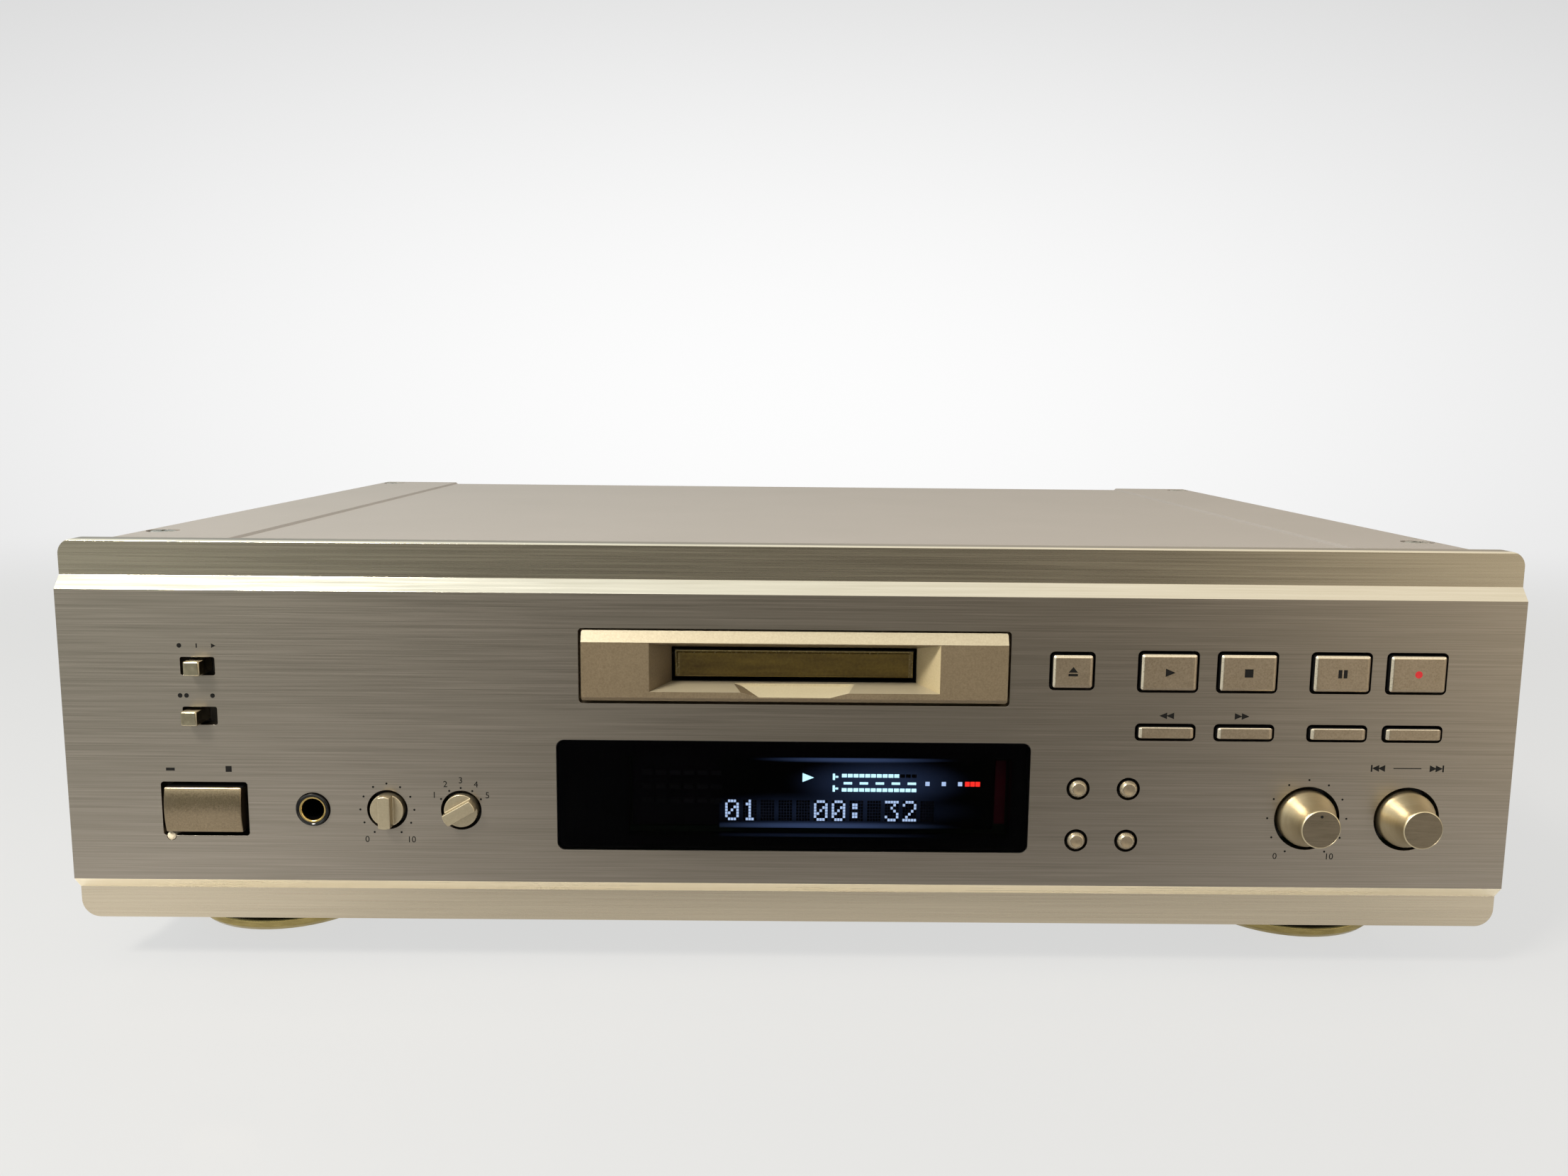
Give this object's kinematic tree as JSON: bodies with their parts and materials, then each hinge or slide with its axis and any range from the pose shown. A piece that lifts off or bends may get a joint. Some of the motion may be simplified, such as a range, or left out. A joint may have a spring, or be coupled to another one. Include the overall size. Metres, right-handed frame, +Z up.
{
  "type": "minidisc deck",
  "caption": "Full-width hi-fi minidisc recorder with a brushed front, a flap-covered disc slot, keys, knobs, display, disc loader, drive and rear sockets.",
  "frame": {"origin": "bottom centre of the deck's box, on the floor under the feet", "axes": "+X to the right seen from the front, +Y to the rear, +Z up"},
  "size_m": [0.434, 0.3292, 0.132],
  "materials": {
    "champagne_aluminium": "brushed",
    "bezel_plastic": "satin moulded",
    "flap_plastic": "satin moulded",
    "smoked_acrylic": "polished",
    "display_glass": "polished",
    "key_plastic": "satin metallised",
    "knob_aluminium": "turned",
    "lever_metal": "satin",
    "jack_brass": "plated",
    "lamp_lens": "clear moulded",
    "black_plastic": "moulded",
    "circuit_board": "laminate",
    "zinc_steel": "zinc plated",
    "cover_paint": "fine texture",
    "rear_paint": "satin",
    "screw_steel": "plated",
    "foot_plastic": "moulded",
    "foot_gilding": "satin plated",
    "foot_rubber": "matt",
    "core_steel": "varnished laminations",
    "motor_steel": "drawn",
    "mech_steel": "pressed",
    "shaft_steel": "ground",
    "gear_plastic": "moulded acetal",
    "sled_plastic": "moulded"
  },
  "bodies": {
    "deck": {"front_panel": "champagne_aluminium", "disc_bezel": "bezel_plastic", "display_window": "smoked_acrylic", "display_tube": "display_glass", "remote_sensor": "black_plastic", "phones_jack": "jack_brass", "power_lamp": "lamp_lens", "panel_switches": "black_plastic", "rotary_controls": "black_plastic", "front_board": "circuit_board", "front_bracket": "zinc_steel", "top_cover": "cover_paint", "case_screws": "screw_steel", "bottom_chassis": "zinc_steel", "rear_panel": "rear_paint", "foot_bodies": "foot_plastic", "foot_rings": "foot_gilding", "foot_pads": "foot_rubber", "ac_inlet": "black_plastic", "analog_jacks": "jack_brass", "digital_jacks": "black_plastic", "power_transformer": "core_steel", "power_board": "circuit_board", "main_board": "circuit_board", "mech_bracket": "zinc_steel", "mech_dampers": "foot_rubber", "mech_base": "mech_steel", "guide_shafts": "shaft_steel", "spindle_motor": "motor_steel", "sled_motor": "motor_steel", "load_motor": "motor_steel"},
    "eject_button": {"eject_button": "key_plastic"},
    "play_button": {"play_button": "key_plastic"},
    "stop_button": {"stop_button": "key_plastic"},
    "pause_button": {"pause_button": "key_plastic"},
    "record_button": {"record_button": "key_plastic"},
    "rewind_button": {"rewind_button": "key_plastic"},
    "forward_button": {"forward_button": "key_plastic"},
    "edit_button": {"edit_button": "key_plastic"},
    "enter_button": {"enter_button": "key_plastic"},
    "character_button": {"character_button": "key_plastic"},
    "clear_button": {"clear_button": "key_plastic"},
    "monitor_button": {"monitor_button": "key_plastic"},
    "reset_button": {"reset_button": "key_plastic"},
    "power_button": {"power_button": "key_plastic"},
    "timer_lever": {"timer_lever": "lever_metal"},
    "record_mode_lever": {"record_mode_lever": "lever_metal"},
    "phones_level_knob": {"phones_level_knob": "knob_aluminium"},
    "input_select_knob": {"input_select_knob": "knob_aluminium"},
    "input_level_knob": {"input_level_knob": "knob_aluminium"},
    "jog_knob": {"jog_knob": "knob_aluminium"},
    "disc_flap": {"disc_flap": "flap_plastic"},
    "load_slider": {"load_slider": "mech_steel"},
    "disc_holder": {"disc_holder": "mech_steel"},
    "load_gear": {"load_gear": "gear_plastic"},
    "load_pinion": {"load_pinion": "gear_plastic"},
    "pickup_sled": {"pickup_sled": "sled_plastic"},
    "lead_screw": {"lead_screw": "shaft_steel"},
    "head_arm": {"head_arm": "mech_steel"},
    "turntable": {"turntable": "sled_plastic"}
  },
  "joints": [
    {"name": "eject_press", "type": "slide", "parent": "deck", "child": "eject_button", "axis": [0, 1, 0], "range_m": [0, 0.001], "stiffness_N_per_m": 400},
    {"name": "play_press", "type": "slide", "parent": "deck", "child": "play_button", "axis": [0, 1, 0], "range_m": [0, 0.001], "stiffness_N_per_m": 400},
    {"name": "stop_press", "type": "slide", "parent": "deck", "child": "stop_button", "axis": [0, 1, 0], "range_m": [0, 0.001], "stiffness_N_per_m": 400},
    {"name": "pause_press", "type": "slide", "parent": "deck", "child": "pause_button", "axis": [0, 1, 0], "range_m": [0, 0.001], "stiffness_N_per_m": 400},
    {"name": "record_press", "type": "slide", "parent": "deck", "child": "record_button", "axis": [0, 1, 0], "range_m": [0, 0.001], "stiffness_N_per_m": 400},
    {"name": "rewind_press", "type": "slide", "parent": "deck", "child": "rewind_button", "axis": [0, 1, 0], "range_m": [0, 0.0008], "stiffness_N_per_m": 400},
    {"name": "forward_press", "type": "slide", "parent": "deck", "child": "forward_button", "axis": [0, 1, 0], "range_m": [0, 0.0008], "stiffness_N_per_m": 400},
    {"name": "edit_press", "type": "slide", "parent": "deck", "child": "edit_button", "axis": [0, 1, 0], "range_m": [0, 0.0008], "stiffness_N_per_m": 400},
    {"name": "enter_press", "type": "slide", "parent": "deck", "child": "enter_button", "axis": [0, 1, 0], "range_m": [0, 0.0008], "stiffness_N_per_m": 400},
    {"name": "character_press", "type": "slide", "parent": "deck", "child": "character_button", "axis": [0, 1, 0], "range_m": [0, 0.0008], "stiffness_N_per_m": 400},
    {"name": "clear_press", "type": "slide", "parent": "deck", "child": "clear_button", "axis": [0, 1, 0], "range_m": [0, 0.0008], "stiffness_N_per_m": 400},
    {"name": "monitor_press", "type": "slide", "parent": "deck", "child": "monitor_button", "axis": [0, 1, 0], "range_m": [0, 0.0008], "stiffness_N_per_m": 400},
    {"name": "reset_press", "type": "slide", "parent": "deck", "child": "reset_button", "axis": [0, 1, 0], "range_m": [0, 0.0008], "stiffness_N_per_m": 400},
    {"name": "power_press", "type": "slide", "parent": "deck", "child": "power_button", "axis": [0, 1, 0], "range_m": [0, 0.003], "stiffness_N_per_m": 500},
    {"name": "timer_slide", "type": "slide", "parent": "deck", "child": "timer_lever", "axis": [1, 0, 0], "range_m": [-0.0025, 0.0025]},
    {"name": "record_mode_slide", "type": "slide", "parent": "deck", "child": "record_mode_lever", "axis": [1, 0, 0], "range_m": [0, 0.003]},
    {"name": "phones_level_turn", "type": "hinge", "parent": "deck", "child": "phones_level_knob", "pos_m": [-0.1216, -0.15515, 0.05125], "axis": [0, 1, 0], "range_deg": [-150, 150]},
    {"name": "input_select_turn", "type": "hinge", "parent": "deck", "child": "input_select_knob", "pos_m": [-0.0994, -0.15515, 0.05125], "axis": [0, 1, 0], "range_deg": [-120, 0]},
    {"name": "input_level_turn", "type": "hinge", "parent": "deck", "child": "input_level_knob", "pos_m": [0.1559, -0.15515, 0.0507], "axis": [0, 1, 0], "range_deg": [-150, 150]},
    {"name": "jog_turn", "type": "hinge", "parent": "deck", "child": "jog_knob", "pos_m": [0.1861, -0.15515, 0.0507], "axis": [0, 1, 0], "continuous": true},
    {"name": "flap_swing", "type": "hinge", "parent": "deck", "child": "disc_flap", "pos_m": [0.0005, -0.14305, 0.0987], "axis": [1, 0, 0], "range_deg": [0, 85], "stiffness_Nm_per_rad": 0.004},
    {"name": "load_slide", "type": "slide", "parent": "deck", "child": "load_slider", "axis": [0, 1, 0], "range_m": [-0.00866, 0]},
    {"name": "holder_lift", "type": "slide", "parent": "deck", "child": "disc_holder", "axis": [0, 0, 1], "range_m": [-0.00501, 0]},
    {"name": "load_gear_turn", "type": "hinge", "parent": "deck", "child": "load_gear", "pos_m": [0.04585, -0.05481, 0.0829], "axis": [0, 0, 1], "range_deg": [0, 103.47]},
    {"name": "load_pinion_turn", "type": "hinge", "parent": "deck", "child": "load_pinion", "pos_m": [0.05303, -0.06199, 0.0829], "axis": [0, 0, 1], "range_deg": [-310.22, 0]},
    {"name": "sled_slide", "type": "slide", "parent": "deck", "child": "pickup_sled", "axis": [1, 0, 0], "range_m": [0, 0.0165]},
    {"name": "lead_screw_turn", "type": "hinge", "parent": "deck", "child": "lead_screw", "pos_m": [-0.0115, -0.11785, 0.0744], "axis": [1, 0, 0], "range_deg": [0, 2970.1]},
    {"name": "head_arm_tilt", "type": "hinge", "parent": "pickup_sled", "child": "head_arm", "pos_m": [0.015, -0.04015, 0.0991], "axis": [1, 0, 0], "range_deg": [0, 9.31]},
    {"name": "spindle_turn", "type": "hinge", "parent": "deck", "child": "turntable", "pos_m": [0.0005, -0.09385, 0.0808], "axis": [0, 0, 1], "continuous": true}
  ],
  "couplings": [
    {"joint": "holder_lift", "follows": "load_slide", "ratio": 0.57735},
    {"joint": "load_gear_turn", "follows": "load_slide", "rad_per_m": -208.33},
    {"joint": "load_pinion_turn", "follows": "load_slide", "rad_per_m": 625},
    {"joint": "lead_screw_turn", "follows": "sled_slide", "rad_per_m": 3141.6},
    {"joint": "head_arm_tilt", "follows": "load_slide", "rad_per_m": -18.743}
  ]
}
